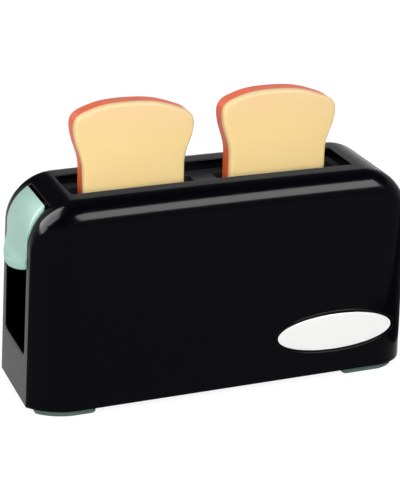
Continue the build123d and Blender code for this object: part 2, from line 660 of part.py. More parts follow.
def build_crumb(pocket_x):
    """Front half of a slice: a plate with a round front edge and two pegs behind."""
    front = -SLICE_THICKNESS / 2
    plate = extrude(slice_plane(pocket_x, front + CRUMB_T) * slice_outline(0), amount=CRUMB_T)
    plate = fillet(plate.faces().sort_by(Axis.Y)[0].edges(), CRUMB_EDGE_R)
    for peg in slice_pegs(pocket_x, SLICE_PEG_R, front + CRUMB_T - 1, front + CRUMB_T + SLICE_PEG_LENGTH):
        plate += peg
    return plate


def build_crust(pocket_x):
    """Back half of a slice: a tub with a round back edge and sockets for the pegs."""
    seam = -SLICE_THICKNESS / 2 + CRUMB_T
    back = SLICE_THICKNESS / 2
    tub = extrude(slice_plane(pocket_x, back) * slice_outline(0), amount=back - seam)
    tub = fillet(tub.faces().sort_by(Axis.Y)[-1].edges(), CRUST_EDGE_R)
    floor = back - CRUST_WALL
    tub -= extrude(slice_plane(pocket_x, floor) * slice_outline(CRUST_WALL), amount=floor - seam)
    for peg in slice_pegs(pocket_x, SLICE_PEG_R + SEAT_FIT + CRUST_WALL, seam, back - CRUST_WALL / 2):
        tub += peg
    bore_end = seam + SLICE_PEG_LENGTH + SEAT_GAP
    for peg in slice_pegs(pocket_x, SLICE_PEG_R + SEAT_FIT, seam - 1, bore_end):
        tub -= peg
    return tub


# ------------------------------------------------------------ badge and screws
def build_badge():
    """Bare oval plate with a softened front edge, bonded into its seat."""
    plate = extrude(badge_plane() * badge_oval(0), amount=BADGE_T - BADGE_SEAT)
    plate += extrude(badge_plane() * badge_oval(0), amount=-BADGE_SEAT)
    front = plate.faces().sort_by(Axis.Y)[0]
    return fillet(front.edges(), (BADGE_T - BADGE_SEAT) * 0.6)


def screw(length):
    """Pan-head screw along +Z, its head's seat at the origin."""
    head = Pos(0, 0, -SCREW_HEAD_H / 2) * Cylinder(SCREW_HEAD_R, SCREW_HEAD_H)
    head = chamfer(head.edges().sort_by(Axis.Z)[0], SCREW_HEAD_H / 3)
    return head + Pos(0, 0, length / 2) * Cylinder(SCREW_R, length)


def build_base_screws():
    """Four screws up through the base plate into the housing's columns."""
    seat = BASE_Z + SCREW_HEAD_H
    length = BASE_TOP_Z + BASE_SCREW_LENGTH - seat - SEAT_GAP
    return Compound(children=[Pos(x, y, seat) * screw(length) for x, y in base_screw_spots()])


def build_guide_screws():
    """Four screws up through the slot guide into the bosses under the top."""
    seat = LEDGE_Z - LEDGE_T
    return Compound(children=[Pos(x, y, seat) * screw(GUIDE_SCREW_LENGTH) for x, y in guide_screw_spots()])


def build_lever_screws():
    """Two screws through the carriage's lug into the lever."""
    seat = LUG_X + LUG_T / 2
    place = [Pos(seat, y, LEVER_SCREW_Z) * Rot(0, -90, 0) for y in lever_screw_spots()]
    return Compound(children=[spot * screw(LEVER_SCREW_LENGTH) for spot in place])


# ------------------------------------------------------------ write the nodes
name_solid(build_housing(), "housing")
name_solid(build_slot_guide(), "slot_guide")
name_solid(build_base_plate(), "base_plate")
for end, foot_x in zip(("left", "right"), foot_middles()):
    name_solid(build_foot(foot_x, -1), f"foot_front_{end}")
    name_solid(build_foot(foot_x, 1), f"foot_rear_{end}")
name_solid(build_lever(), "lever")
name_solid(build_carriage(), "carriage")
for end, rod_x in zip(("left", "right"), ROD_XS):
    name_solid(build_guide_rod(rod_x), f"guide_rod_{end}")
    name_solid(build_buffer(rod_x), f"buffer_{end}")
    name_solid(build_spring(rod_x), f"spring_{end}")
for end, pocket_x in zip(("left", "right"), POCKET_XS):
    name_solid(build_crumb(pocket_x), f"crumb_{end}")
    name_solid(build_crust(pocket_x), f"crust_{end}")
name_solid(build_badge(), "badge")
name_solid(build_base_screws(), "base_screws")
name_solid(build_guide_screws(), "guide_screws")
name_solid(build_lever_screws(), "lever_screws")
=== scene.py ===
import math

import bmesh
import bpy
import numpy as np
from mathutils import Matrix, Vector


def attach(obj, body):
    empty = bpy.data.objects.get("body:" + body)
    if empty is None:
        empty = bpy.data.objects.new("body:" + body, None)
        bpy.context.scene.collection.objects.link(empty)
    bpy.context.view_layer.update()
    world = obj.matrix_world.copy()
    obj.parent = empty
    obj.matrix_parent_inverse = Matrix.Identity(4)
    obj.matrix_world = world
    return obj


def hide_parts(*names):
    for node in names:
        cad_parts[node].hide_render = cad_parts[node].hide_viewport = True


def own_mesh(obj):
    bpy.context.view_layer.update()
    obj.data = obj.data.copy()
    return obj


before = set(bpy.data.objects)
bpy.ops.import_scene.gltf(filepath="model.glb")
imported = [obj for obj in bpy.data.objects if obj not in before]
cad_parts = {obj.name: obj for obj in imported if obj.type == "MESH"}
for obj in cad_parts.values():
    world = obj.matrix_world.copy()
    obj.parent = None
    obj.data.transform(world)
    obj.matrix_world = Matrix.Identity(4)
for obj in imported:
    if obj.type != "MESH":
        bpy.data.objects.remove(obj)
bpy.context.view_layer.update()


# ------------------------------------------------------------------ the shell
# One injection moulding in black ABS, polished in the mould: leaning walls, a crowned top with
# one long slot, a window for the lever in its left end and a raised ring for the badge.

MM = 0.001                   # metres; all sizes below are in mm unless they say otherwise
DOUBLE_GAP = 0.004           # points nearer than this are one point
LENGTH = 200.0
DEPTH = 67.6
TOP_Z = 106.6
RIM_Z = 4.0
CROWN = 0.7
LEFT_DRAFT = 0.04
RIGHT_DRAFT = 0.05
FACE_DRAFT = 0.03
LEFT_CORNER_R = 23.0
RIGHT_CORNER_R = 22.0
EDGE_R = 11.0
RIM_CORNER_R = 18.0
CORNER_BLEND_Z = 76.0
CHEEK_R = 29.0
END_HALF_WIDTH = 22.4
WALL = 2.2
SLOT_X = (-74.6, 69.8)
SLOT_HALF_WIDTH = 13.25
SLOT_FLOOR_Z = 101.7
SLOT_EDGE_R = 0.35
WINDOW_HALF_WIDTH = 17.0
WINDOW_HALF_HEAD = 14.7
WINDOW_BEND_Z = 86.6         # above it the window draws in towards its head
WINDOW_Z = 29.0
WINDOW_CORNER_R = 1.5
WINDOW_TOP_X = -85.5
WINDOW_EDGE_R = 0.8
WINDOW_SPARE = 1.0           # the window's edges are looked for this far round it
CRISP_EDGE_R = 0.35
CRISP_ANGLE = math.radians(32)
STRIP_X = (-77.0, 72.0)      # flat of the top, round the slot
STRIP_HALF_WIDTH = 17.6
SPRING_LINE_Z = 83.5         # height at which the walls start to turn over into the top
CRISP_COLUMN = 0.25          # share of a left corner's columns that lie before the crisp edge
CRISP_END = 0.93             # the edge has faded out when it has turned this share of the corner
LEFT_STEP = 0.12             # share of the strip's half width between columns at the left end
LONG_COLUMNS = 76            # along the front, and along the back
RIGHT_COLUMNS = 22
CORNER_COLUMNS = 28
WALL_STEP = 3.2
TURN_STEP = math.radians(2.2)
FLAT_ROWS = 5                # of the strip round the slot
LIP_ROWS = 4                 # of the slot's rounded lip
DROP_ROWS = 3                # down the slot's wall
WALL_CLAMP = 0.6             # keeps the wall from crossing itself beside short edges
WINDOW_SEGMENTS = 4
CRISP_SEGMENTS = 2
WAVE_SIZE = 9.0              # of the polish's waviness, and below of the rubbing
RUB_SIZE = 3.0
RUB_ROUGHNESS = (0.13, 0.2)


def rounded_meet(a, b, radius):
    """Signed distance of two surfaces' common inside, with the edge between them rounded."""
    outside = np.hypot(np.maximum(a + radius, 0), np.maximum(b + radius, 0))
    return np.minimum(np.maximum(a, b), -radius) + outside


def face_y(z):
    """Half depth of the shell at height z."""
    return DEPTH / 2 - FACE_DRAFT * (z - RIM_Z)


def loaf_distance(x, y, z):
    """Distance outside the loaf: leaning walls and a crowned top, with rounded corners and long edges."""
    left_end = LENGTH / 2 - LEFT_DRAFT * (z - RIM_Z)
    right_end = LENGTH / 2 - RIGHT_DRAFT * (z - RIM_Z)
    left = (-x - left_end) / math.hypot(1, LEFT_DRAFT)
    right = (x - right_end) / math.hypot(1, RIGHT_DRAFT)
    rise = TOP_Z - CROWN - RIM_Z
    half_top = LENGTH / 2 - (LEFT_DRAFT + RIGHT_DRAFT) / 2 * rise
    mid_top = (LEFT_DRAFT - RIGHT_DRAFT) / 2 * rise
    crown_r = (half_top ** 2 + CROWN ** 2) / (2 * CROWN)
    top = np.hypot(x - mid_top, z - TOP_Z + crown_r) - crown_r
    arch = rounded_meet(np.maximum(left, right), top, np.where(x < 0, LEFT_CORNER_R, RIGHT_CORNER_R))
    side = (np.abs(y) - face_y(z)) / math.hypot(1, FACE_DRAFT)
    shrink = (RIM_CORNER_R - EDGE_R) / (CORNER_BLEND_Z - RIM_Z)
    plan = rounded_meet(right, side, np.maximum(RIM_CORNER_R - shrink * (z - RIM_Z), EDGE_R / 2))
    return np.maximum(np.maximum(rounded_meet(arch, side, EDGE_R), left), plan)


def cheek_distance(x, y, z):
    """Distance outside the cheeks: upright cylinders that touch front and back, and cut the left end."""
    left_end = LENGTH / 2 - LEFT_DRAFT * (z - RIM_Z)
    cheek_x = -left_end + np.sqrt(CHEEK_R ** 2 - (END_HALF_WIDTH - face_y(z) + CHEEK_R) ** 2)
    side = (np.abs(y) - face_y(z)) / math.hypot(1, FACE_DRAFT)
    return rounded_meet(cheek_x - CHEEK_R - x, side, CHEEK_R)


def shell_distance(x, y, z):
    """How far a point is outside the shell's skin, in mm."""
    return np.maximum(loaf_distance(x, y, z), cheek_distance(x, y, z))


def on_skin(origin, direction, distance=shell_distance):
    """Points where rays from inside cross a surface, by halving the interval 50 times."""
    near = np.zeros(origin.shape[:-1])
    far = np.full(origin.shape[:-1], LENGTH)
    for _ in range(50):
        middle = (near + far) / 2
        point = origin + direction * middle[..., None]
        inside = distance(point[..., 0], point[..., 1], point[..., 2]) < 0
        near = np.where(inside, middle, near)
        far = np.where(inside, far, middle)
    return origin + direction * far[..., None]


def window_half_width(z):
    """Half width of the lever's window at height z: straight, then drawn in along a parabola."""
    share = np.clip((z - WINDOW_BEND_Z) / (TOP_Z - WINDOW_BEND_Z), 0, 1)
    return WINDOW_HALF_WIDTH - (WINDOW_HALF_WIDTH - WINDOW_HALF_HEAD) * share ** 2


def crisp_turn(height, rise):
    """Share of the left corner's turn at which the cheek meets the end wall, by halving it 30 times.

    It is found for each pair of a ray's starting height in the shell and the angle at which it rises.
    """
    low, high = np.zeros_like(rise), np.full_like(rise, CRISP_END)
    for _ in range(30):
        share = (low + high) / 2
        plan = share * math.pi / 2
        way = np.stack([-np.cos(plan) * np.cos(rise), -np.sin(plan) * np.cos(rise), np.sin(rise)], axis=-1)
        corner = [np.full_like(rise, STRIP_X[0]), np.full_like(rise, -STRIP_HALF_WIDTH), height]
        origin = np.stack(corner, axis=-1)
        apart = on_skin(origin, way, cheek_distance) - on_skin(origin, way, loaf_distance)
        gap = (apart * way).sum(axis=-1)
        low, high = np.where(gap > 0, share, low), np.where(gap > 0, high, share)
    return (low + high) / 2


def spaced(breaks, step):
    """Numbers that run through the breaks, with equal gaps of about one step between each two."""
    pairs = zip(breaks, breaks[1:])
    runs = [np.linspace(a, b, max(1, round(abs(b - a) / step)) + 1)[:-1] for a, b in pairs]
    return np.concatenate(runs + [np.array(breaks[-1:])])


def loop_round(x0, x1, half_width, columns):
    """Points of a rectangle and the plan angle outwards there, along its four sides and corners."""
    left_s, front_s, right_s, back_s, fan = columns
    xs, ys, angles = [], [], []
    sides = [
        (left_s, (x0, half_width), (x0, -half_width), 1.0),
        (front_s, (x0, -half_width), (x1, -half_width), 1.5),
        (right_s, (x1, -half_width), (x1, half_width), 2.0),
        (back_s, (x1, half_width), (x0, half_width), 2.5),
    ]
    for s, start, end, angle in sides:
        xs += [start[0] + (end[0] - start[0]) * s, np.full(len(fan), end[0])]
        ys += [start[1] + (end[1] - start[1]) * s, np.full(len(fan), end[1])]
        angles.append((angle + np.concatenate([np.zeros(len(s)), fan / 2])) * math.pi)
    return np.concatenate(xs), np.concatenate(ys), np.concatenate(angles)


def grid_mesh(name, grid, keep=None):
    """Mesh of a grid of points, closed round its columns. keep says which of its cells are there."""
    rows, columns = grid.shape[:2]
    index = np.arange(rows * columns).reshape(rows, columns)
    after = np.roll(index, -1, axis=1)
    faces = np.stack([index[:-1], after[:-1], after[1:], index[1:]], axis=-1)
    if keep is not None:
        faces = faces[keep]
    mesh = bpy.data.meshes.new(name)
    mesh.from_pydata((grid.reshape(-1, 3) * MM).tolist(), [], faces.reshape(-1, 4).tolist())
    merged = bmesh.new()
    merged.from_mesh(mesh)
    bmesh.ops.remove_doubles(merged, verts=merged.verts, dist=DOUBLE_GAP * MM)
    merged.to_mesh(mesh)
    merged.free()
    return mesh


def add_piece(name, mesh, material=None):
    """A new object of the mesh, in the scene, with its material."""
    piece = bpy.data.objects.new(name, mesh)
    bpy.context.scene.collection.objects.link(piece)
    if material:
        mesh.materials.append(material)
    return piece


def crease(piece, degrees=28):
    """Geometry nodes on a piece: merges double points, and shades smooth between its sharper edges."""
    group = bpy.data.node_groups.new(piece.name + "_creases", "GeometryNodeTree")
    group.interface.new_socket("Geometry", in_out="INPUT", socket_type="NodeSocketGeometry")
    group.interface.new_socket("Geometry", in_out="OUTPUT", socket_type="NodeSocketGeometry")
    nodes, links = group.nodes, group.links
    source, result = nodes.new("NodeGroupInput"), nodes.new("NodeGroupOutput")
    merge = nodes.new("GeometryNodeMergeByDistance")
    merge.inputs["Distance"].default_value = DOUBLE_GAP * MM
    faces, edges = nodes.new("GeometryNodeSetShadeSmooth"), nodes.new("GeometryNodeSetShadeSmooth")
    edges.domain = "EDGE"
    edges.inputs["Shade Smooth"].default_value = False
    angle, wide = nodes.new("GeometryNodeInputMeshEdgeAngle"), nodes.new("FunctionNodeCompare")
    wide.inputs["B"].default_value = math.radians(degrees)
    links.new(source.outputs[0], merge.inputs["Geometry"])
    links.new(merge.outputs[0], faces.inputs["Geometry"])
    links.new(faces.outputs[0], edges.inputs["Geometry"])
    links.new(angle.outputs["Unsigned Angle"], wide.inputs["A"])
    links.new(wide.outputs[0], edges.inputs["Selection"])
    links.new(edges.outputs[0], result.inputs[0])
    piece.modifiers.new("creases", "NODES").node_group = group


def srgb(code, alpha=1.0):
    """Linear colour of an sRGB hex code."""
    parts = [int(code[i:i + 2], 16) / 255 for i in (0, 2, 4)]
    return tuple(p / 12.92 if p <= 0.04045 else ((p + 0.055) / 1.055) ** 2.4 for p in parts) + (alpha,)


def new_material(name, **sockets):
    """A material and its Principled shader, whose sockets are set by name."""
    material = bpy.data.materials.new(name)
    material.use_nodes = True
    shader = material.node_tree.nodes["Principled BSDF"]
    for socket, value in sockets.items():
        shader.inputs[socket.replace("_", " ")].default_value = value
    return material, shader


def add_node(material, kind, links=None, **settings):
    """Adds a node: settings are its own or its inputs' values, and links go from an input to a socket."""
    tree = material.node_tree
    node = tree.nodes.new(kind)
    for key, value in settings.items():
        if hasattr(node, key):
            setattr(node, key, value)
        else:
            node.inputs[key.replace("_", " ")].default_value = value
    for key, socket in (links or {}).items():
        tree.links.new(socket, node.inputs[key])
    return node


def join(material, output, socket):
    """Links one socket to another."""
    material.node_tree.links.new(output, socket)


# Polished black ABS: the mould's polish leaves a faint waviness and a haze of fine rubbing. Its
# low IOR keeps what it mirrors faint, so that it stays black between the lamps' highlights.
black_abs, shader = new_material("polished_black_abs", Base_Color=srgb("020206"), Roughness=0.09, IOR=1.125)
place = add_node(black_abs, "ShaderNodeTexCoord")
waves = add_node(black_abs, "ShaderNodeTexNoise", {"Vector": place.outputs["Object"]},
                 Scale=1 / (WAVE_SIZE * MM), Detail=1.0)
rub = add_node(black_abs, "ShaderNodeTexNoise", {"Vector": place.outputs["Object"]},
               Scale=1 / (RUB_SIZE * MM), Detail=6.0)
haze = add_node(black_abs, "ShaderNodeMapRange", {"Value": rub.outputs["Fac"]},
                From_Min=0.35, From_Max=0.75, To_Min=RUB_ROUGHNESS[0], To_Max=RUB_ROUGHNESS[1])
join(black_abs, haze.outputs["Result"], shader.inputs["Roughness"])
bump = add_node(black_abs, "ShaderNodeBump", {"Height": waves.outputs["Fac"]},
                Strength=0.08, Distance=0.2 * MM)
join(black_abs, bump.outputs["Normal"], shader.inputs["Normal"])

window_s = WINDOW_HALF_WIDTH / STRIP_HALF_WIDTH
corner_s = (WINDOW_HALF_WIDTH - WINDOW_CORNER_R) / STRIP_HALF_WIDTH
left_columns = (1 - spaced([1.0, window_s, corner_s, -corner_s, -window_s, -1.0], LEFT_STEP)) / 2
along = np.linspace(0, 1, LONG_COLUMNS)
fan = spaced([0, CRISP_COLUMN, 1], 1 / CORNER_COLUMNS)[1:-1]
columns = (left_columns, along, np.linspace(0, 1, RIGHT_COLUMNS), along, fan)
loop_x, loop_y, loop_angle = loop_round(*STRIP_X, STRIP_HALF_WIDTH, columns)


def corner_share(angle, crisp):
    """Moves the columns of the two left corners, so that one lies on the crisp edge in every row."""
    turn = np.abs(angle - math.pi) / (math.pi / 2)
    before = turn / CRISP_COLUMN * crisp
    after = crisp + (turn - CRISP_COLUMN) / (1 - CRISP_COLUMN) * (1 - crisp)
    moved = np.where(turn < CRISP_COLUMN, before, after)
    return np.where(turn < 1, math.pi + np.sign(angle - math.pi) * moved * math.pi / 2, angle)


def skin_rows(height, rise):
    """Rows of the skin: row i is seen from height[i] inside the shell, in rays that rise at rise[i]."""
    angle = loop_angle % (2 * math.pi)
    angle = corner_share(angle, crisp_turn(height, rise)[:, None])
    way = np.stack([np.cos(angle) * np.cos(rise)[:, None], np.sin(angle) * np.cos(rise)[:, None],
                    np.broadcast_to(np.sin(rise)[:, None], angle.shape)], axis=-1)
    origin = np.stack(np.broadcast_arrays(loop_x, loop_y, height[:, None]), axis=-1)
    rows = on_skin(origin, way)
    at_left = np.broadcast_to(loop_x == STRIP_X[0], rows.shape[:2]) & (np.abs(angle - math.pi) < 1e-6)
    inner = np.minimum(np.abs(origin[..., 1]), WINDOW_HALF_WIDTH) / WINDOW_HALF_WIDTH
    outer = np.maximum(np.abs(origin[..., 1]) - WINDOW_HALF_WIDTH, 0)
    outer = outer / (STRIP_HALF_WIDTH - WINDOW_HALF_WIDTH)
    half = window_half_width(rows[..., 2])
    tapered = np.sign(origin[..., 1]) * (inner * half + outer * (STRIP_HALF_WIDTH - half))
    origin = origin.copy()
    origin[..., 1] = np.where(at_left, tapered, origin[..., 1])
    return on_skin(origin, way)


wall_z = spaced([RIM_Z, WINDOW_Z, WINDOW_Z + WINDOW_CORNER_R, SPRING_LINE_Z], WALL_STEP)
wall_rows = skin_rows(wall_z, 0 * wall_z)

# The window's upper end is at one angle of the turn, so that a row of points lies along it.
probe = on_skin(np.array([[WINDOW_TOP_X, 0, SPRING_LINE_Z]]), np.array([[0.0, 0, 1]]))[0]
window_turn = math.atan2(probe[2] - SPRING_LINE_Z, STRIP_X[0] - WINDOW_TOP_X)
turn = spaced([0, window_turn, math.pi / 2], TURN_STEP)[1:]
turn_rows = skin_rows(np.full_like(turn, SPRING_LINE_Z), turn)

slot_x, slot_y, _ = loop_round(*SLOT_X, SLOT_HALF_WIDTH, columns)
at_left, at_right = np.isclose(slot_x, SLOT_X[0]), np.isclose(slot_x, SLOT_X[1])
edge_x = slot_x + SLOT_EDGE_R * (at_right.astype(float) - at_left)
edge_y = slot_y + SLOT_EDGE_R * np.sign(slot_y) * np.isclose(np.abs(slot_y), SLOT_HALF_WIDTH)
part_way = np.linspace(0, 1, FLAT_ROWS + 1)[1:, None]
flat_x = turn_rows[-1, :, 0] + (edge_x - turn_rows[-1, :, 0]) * part_way
flat_y = turn_rows[-1, :, 1] + (edge_y - turn_rows[-1, :, 1]) * part_way
flat_origin = np.stack([flat_x, flat_y, np.full_like(flat_x, SPRING_LINE_Z)], axis=-1)
flat_rows = on_skin(flat_origin, np.broadcast_to(np.array([0.0, 0, 1]), flat_origin.shape))

bend = np.linspace(0, math.pi / 2, LIP_ROWS + 1)[1:, None]
bend_rows = np.stack([
    edge_x + (slot_x - edge_x) * np.sin(bend),
    edge_y + (slot_y - edge_y) * np.sin(bend),
    flat_rows[-1, :, 2] - SLOT_EDGE_R * (1 - np.cos(bend)),
], axis=-1)
drop = np.linspace(0, 1, DROP_ROWS + 1)[1:, None]
low = bend_rows[-1, :, 2] + (SLOT_FLOOR_Z - bend_rows[-1, :, 2]) * drop
slot_rows = np.stack(np.broadcast_arrays(slot_x, slot_y, low), axis=-1)

skin = np.concatenate([wall_rows, turn_rows, flat_rows, bend_rows, slot_rows])
after = np.roll(skin, -1, axis=1)
middle = (skin[:-1] + skin[1:] + after[:-1] + after[1:]) / 4
beside = np.abs(middle[..., 1]) < window_half_width(middle[..., 2])
in_window = (middle[..., 0] < WINDOW_TOP_X) & beside & (middle[..., 2] > WINDOW_Z)

# The window's two lower corners are drawn in to the middle of their small arcs.
sill = int(np.argmin(np.abs(wall_z - WINDOW_Z)))
corners = np.isclose(np.abs(skin[sill, :, 1]), WINDOW_HALF_WIDTH) & (skin[sill, :, 0] < 0)
corner_side = np.sign(skin[sill, corners, 1])
inwards = np.stack([0 * corner_side, -corner_side, np.ones_like(corner_side)], axis=-1)
skin[sill, corners] += inwards * WINDOW_CORNER_R * (1 - math.sqrt(0.5))
shell = add_piece("shell_moulding", grid_mesh("shell_moulding", skin, ~in_window), black_abs)

# The open edges round the window are marked, so that they alone get the larger rounding.
mesh = shell.data
ends = np.array([edge.vertices[:] for edge in mesh.edges])
points = np.array([vertex.co[:] for vertex in mesh.vertices]) / MM
edge_of_loop = np.array([loop.edge_index for loop in mesh.loops])
edge_mid = points[ends].mean(axis=1)
is_open = np.bincount(edge_of_loop, minlength=len(ends)) == 1
by_window = (edge_mid[:, 0] < SLOT_X[0] - WINDOW_SPARE) & (edge_mid[:, 2] > WINDOW_Z - WINDOW_SPARE)
weight = mesh.attributes.new("bevel_weight_edge", "FLOAT", "EDGE")
weight.data.foreach_set("value", (is_open & by_window).astype(float))

wall = shell.modifiers.new("wall", "SOLIDIFY")
wall.thickness = WALL * MM
wall.offset = -1
wall.use_even_offset = True
wall.thickness_clamp = WALL_CLAMP
for name, method, width, segments in (
        ("window_edges", "WEIGHT", WINDOW_EDGE_R, WINDOW_SEGMENTS),
        ("crisp_edge", "ANGLE", CRISP_EDGE_R, CRISP_SEGMENTS)):
    soft = shell.modifiers.new(name, "BEVEL")
    soft.limit_method = method
    soft.angle_limit = CRISP_ANGLE
    soft.width = width * MM
    soft.segments = segments
    soft.use_clamp_overlap = True
crease(shell, degrees=25)
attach(shell, "shell")
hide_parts("housing")


# ------------------------------------------------------------------ the badge
# A bare oval of white ABS, pressed into a seat in the front face. A thin raised ring, moulded
# with the shell in black ABS, frames it.

BADGE_X = 56.4
BADGE_Z = 26.3
BADGE_HALF = (31.0, 9.4)
BADGE_PROUD = 0.4
RING_GAP = 0.95
RING_WIDTH = 1.0
RING_PROUD = 0.48
SEAT_DEPTH = 0.6             # the plate's rim goes this far into the face
RING_ROOT = 0.5
OVAL_POINTS = 144
PLATE_ROWS = 11              # from the plate's middle to its rounded edge
EDGE_ROWS = 6
RING_ROWS = 9
WHITE_GRAIN = 1.5


def front_y(z):
    """Depth of the leaning front face at height z."""
    return -face_y(z)


def oval_rows(grow, lift):
    """Closed rows of points round the oval: row i is grown by grow[i] and stands lift[i] proud."""
    angle = np.linspace(0, 2 * math.pi, OVAL_POINTS + 1)[:-1]
    grow, lift = np.array(grow)[:, None], np.array(lift)[:, None]
    x = BADGE_X + (BADGE_HALF[0] + grow) * np.cos(angle)
    z = BADGE_Z + (BADGE_HALF[1] + grow) * np.sin(angle)
    return np.stack([x, front_y(z) - lift, z], axis=-1)


# White ABS: bright and even, with a grain that breaks up its sheen. The grain of all mouldings
# here is drawn coarser than the real one, which would be too fine to show.
white_abs, shader = new_material("white_abs", Base_Color=srgb("f2f2f0"), Roughness=0.25, IOR=1.5)
place = add_node(white_abs, "ShaderNodeTexCoord")
grain = add_node(white_abs, "ShaderNodeTexNoise", {"Vector": place.outputs["Object"]},
                 Scale=1 / (WHITE_GRAIN * MM), Detail=3.0)
bump = add_node(white_abs, "ShaderNodeBump", {"Height": grain.outputs["Fac"]},
                Strength=0.1, Distance=0.05 * MM)
join(white_abs, bump.outputs["Normal"], shader.inputs["Normal"])

quarter = np.linspace(0, math.pi / 2, EDGE_ROWS)
inner = np.linspace(-1, 0, PLATE_ROWS + 1)[:-1] * BADGE_HALF[1]
plate_grow = np.concatenate([inner, -BADGE_PROUD * (1 - np.sin(quarter)), [0.0]])
plate_lift = np.concatenate([np.full(PLATE_ROWS, BADGE_PROUD), BADGE_PROUD * np.cos(quarter), [-SEAT_DEPTH]])
plate = add_piece("badge_plate", grid_mesh("badge_plate", oval_rows(plate_grow, plate_lift)), white_abs)
crease(plate, degrees=40)
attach(plate, "shell")
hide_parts("badge")

half_turn = np.linspace(0, math.pi, RING_ROWS)
ring_grow = RING_GAP + np.concatenate([[0], RING_WIDTH / 2 * (1 - np.cos(half_turn)), [RING_WIDTH]])
ring_lift = np.concatenate([[-RING_ROOT], RING_PROUD * np.sin(half_turn), [-RING_ROOT]])
ring = add_piece("badge_ring", grid_mesh("badge_ring", oval_rows(ring_grow, ring_lift)), black_abs)
crease(ring, degrees=60)
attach(ring, "shell")


# ------------------------------------------------------------------ slot guide and base plate
# Two satin black mouldings: the ledge with the slices' pockets under the slot, and the plate
# that closes the bottom, both held by screws.

ROUND_ANGLE = math.radians(40)
ROUND_SEGMENTS = 4
SPARK_GRAIN = 1.2

# Satin black ABS from a spark-eroded mould: dark, with a grain that breaks light into small specks.
satin_abs, shader = new_material("satin_black_abs", Base_Color=srgb("26262a"), Roughness=0.35, IOR=1.3)
place = add_node(satin_abs, "ShaderNodeTexCoord")
spark = add_node(satin_abs, "ShaderNodeTexNoise", {"Vector": place.outputs["Object"]},
                 Scale=1 / (SPARK_GRAIN * MM), Detail=4.0)
bump = add_node(satin_abs, "ShaderNodeBump", {"Height": spark.outputs["Fac"]},
                Strength=0.7, Distance=0.15 * MM)
join(satin_abs, bump.outputs["Normal"], shader.inputs["Normal"])


def finish_node(name, material, degrees=28, round_edges=0):
    """Gives a CAD node its material, rounded edges in mm, and smooth shading between its creases.

    The roundings aren't clamped, since the small triangles of a CAD mesh would hold them back.
    """
    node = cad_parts[name]
    node.data.materials.clear()
    node.data.materials.append(material)
    if round_edges:
        weld = node.modifiers.new("weld", "WELD")
        weld.merge_threshold = DOUBLE_GAP * MM
        soft = node.modifiers.new("round_edges", "BEVEL")
        soft.limit_method = "ANGLE"
        soft.angle_limit = ROUND_ANGLE
        soft.width = round_edges * MM
        soft.segments = ROUND_SEGMENTS
        soft.use_clamp_overlap = False
    crease(node, degrees)
    return node


finish_node("slot_guide", satin_abs)
finish_node("base_plate", satin_abs)


# ------------------------------------------------------------------ lever and feet
# Pale green ABS mouldings with a soft sheen. The lever is screwed to the carriage, and the
# feet's pegs are pressed into the base plate.

LEVER_EDGE_R = 0.9
GREEN_CLOUD = 14.0
GREEN_GRAIN = 1.2
SCUFF_SIZE = 2.5
COLOUR_A, COLOUR_B, COLOUR_OUT = 6, 7, 2     # the sockets of a mix of colours

# Pale green ABS, a little see-through at its surface: a soft colour with a sheen along the edges.
green_abs, shader = new_material(
    "pale_green_abs", Base_Color=srgb("a2cabc"), Roughness=0.32, IOR=1.3, Subsurface_Weight=0.06,
    Subsurface_Radius=(1.0, 1.0, 0.8), Subsurface_Scale=1.2 * MM)
place = add_node(green_abs, "ShaderNodeTexCoord")
cloud = add_node(green_abs, "ShaderNodeTexNoise", {"Vector": place.outputs["Object"]},
                 Scale=1 / (GREEN_CLOUD * MM), Detail=2.0)
tint = add_node(green_abs, "ShaderNodeMix", {"Factor": cloud.outputs["Fac"]}, data_type="RGBA")
tint.inputs[COLOUR_A].default_value = srgb("9dc7b8")
tint.inputs[COLOUR_B].default_value = srgb("a8cfc2")
join(green_abs, tint.outputs[COLOUR_OUT], shader.inputs["Base Color"])
grain = add_node(green_abs, "ShaderNodeTexNoise", {"Vector": place.outputs["Object"]},
                 Scale=1 / (GREEN_GRAIN * MM), Detail=3.0)
bump = add_node(green_abs, "ShaderNodeBump", {"Height": grain.outputs["Fac"]},
                Strength=0.15, Distance=0.04 * MM)
join(green_abs, bump.outputs["Normal"], shader.inputs["Normal"])
finish_node("lever", green_abs, round_edges=LEVER_EDGE_R)

# The feet's green is painted darker than the lever's, as painted shade for the shade they stand in under the
# body. It is dull, with scuffs that fleck it.
painted_shade_green, shader = new_material("worn_green_abs", Base_Color=srgb("5a6c66"), Roughness=0.65, IOR=1.06)
place = add_node(painted_shade_green, "ShaderNodeTexCoord")
scuff = add_node(painted_shade_green, "ShaderNodeTexNoise", {"Vector": place.outputs["Object"]},
                 Scale=1 / (SCUFF_SIZE * MM), Detail=5.0)
tint = add_node(painted_shade_green, "ShaderNodeMix", {"Factor": scuff.outputs["Fac"]}, data_type="RGBA")
tint.inputs[COLOUR_A].default_value = srgb("51645e")
tint.inputs[COLOUR_B].default_value = srgb("627770")
join(painted_shade_green, tint.outputs[COLOUR_OUT], shader.inputs["Base Color"])
bump = add_node(painted_shade_green, "ShaderNodeBump", {"Height": scuff.outputs["Fac"]},
                Strength=0.2, Distance=0.05 * MM)
join(painted_shade_green, bump.outputs["Normal"], shader.inputs["Normal"])
for end in ("left", "right"):
    for side in ("front", "rear"):
        finish_node(f"foot_{side}_{end}", painted_shade_green)


# ------------------------------------------------------------------ carriage, rods and springs
# Inside: a grey moulded carriage on two blackened steel rods, with a spring under each sleeve
# and a rubber ring above it, and zinc-plated screws.

FINE_GRAIN = 0.8

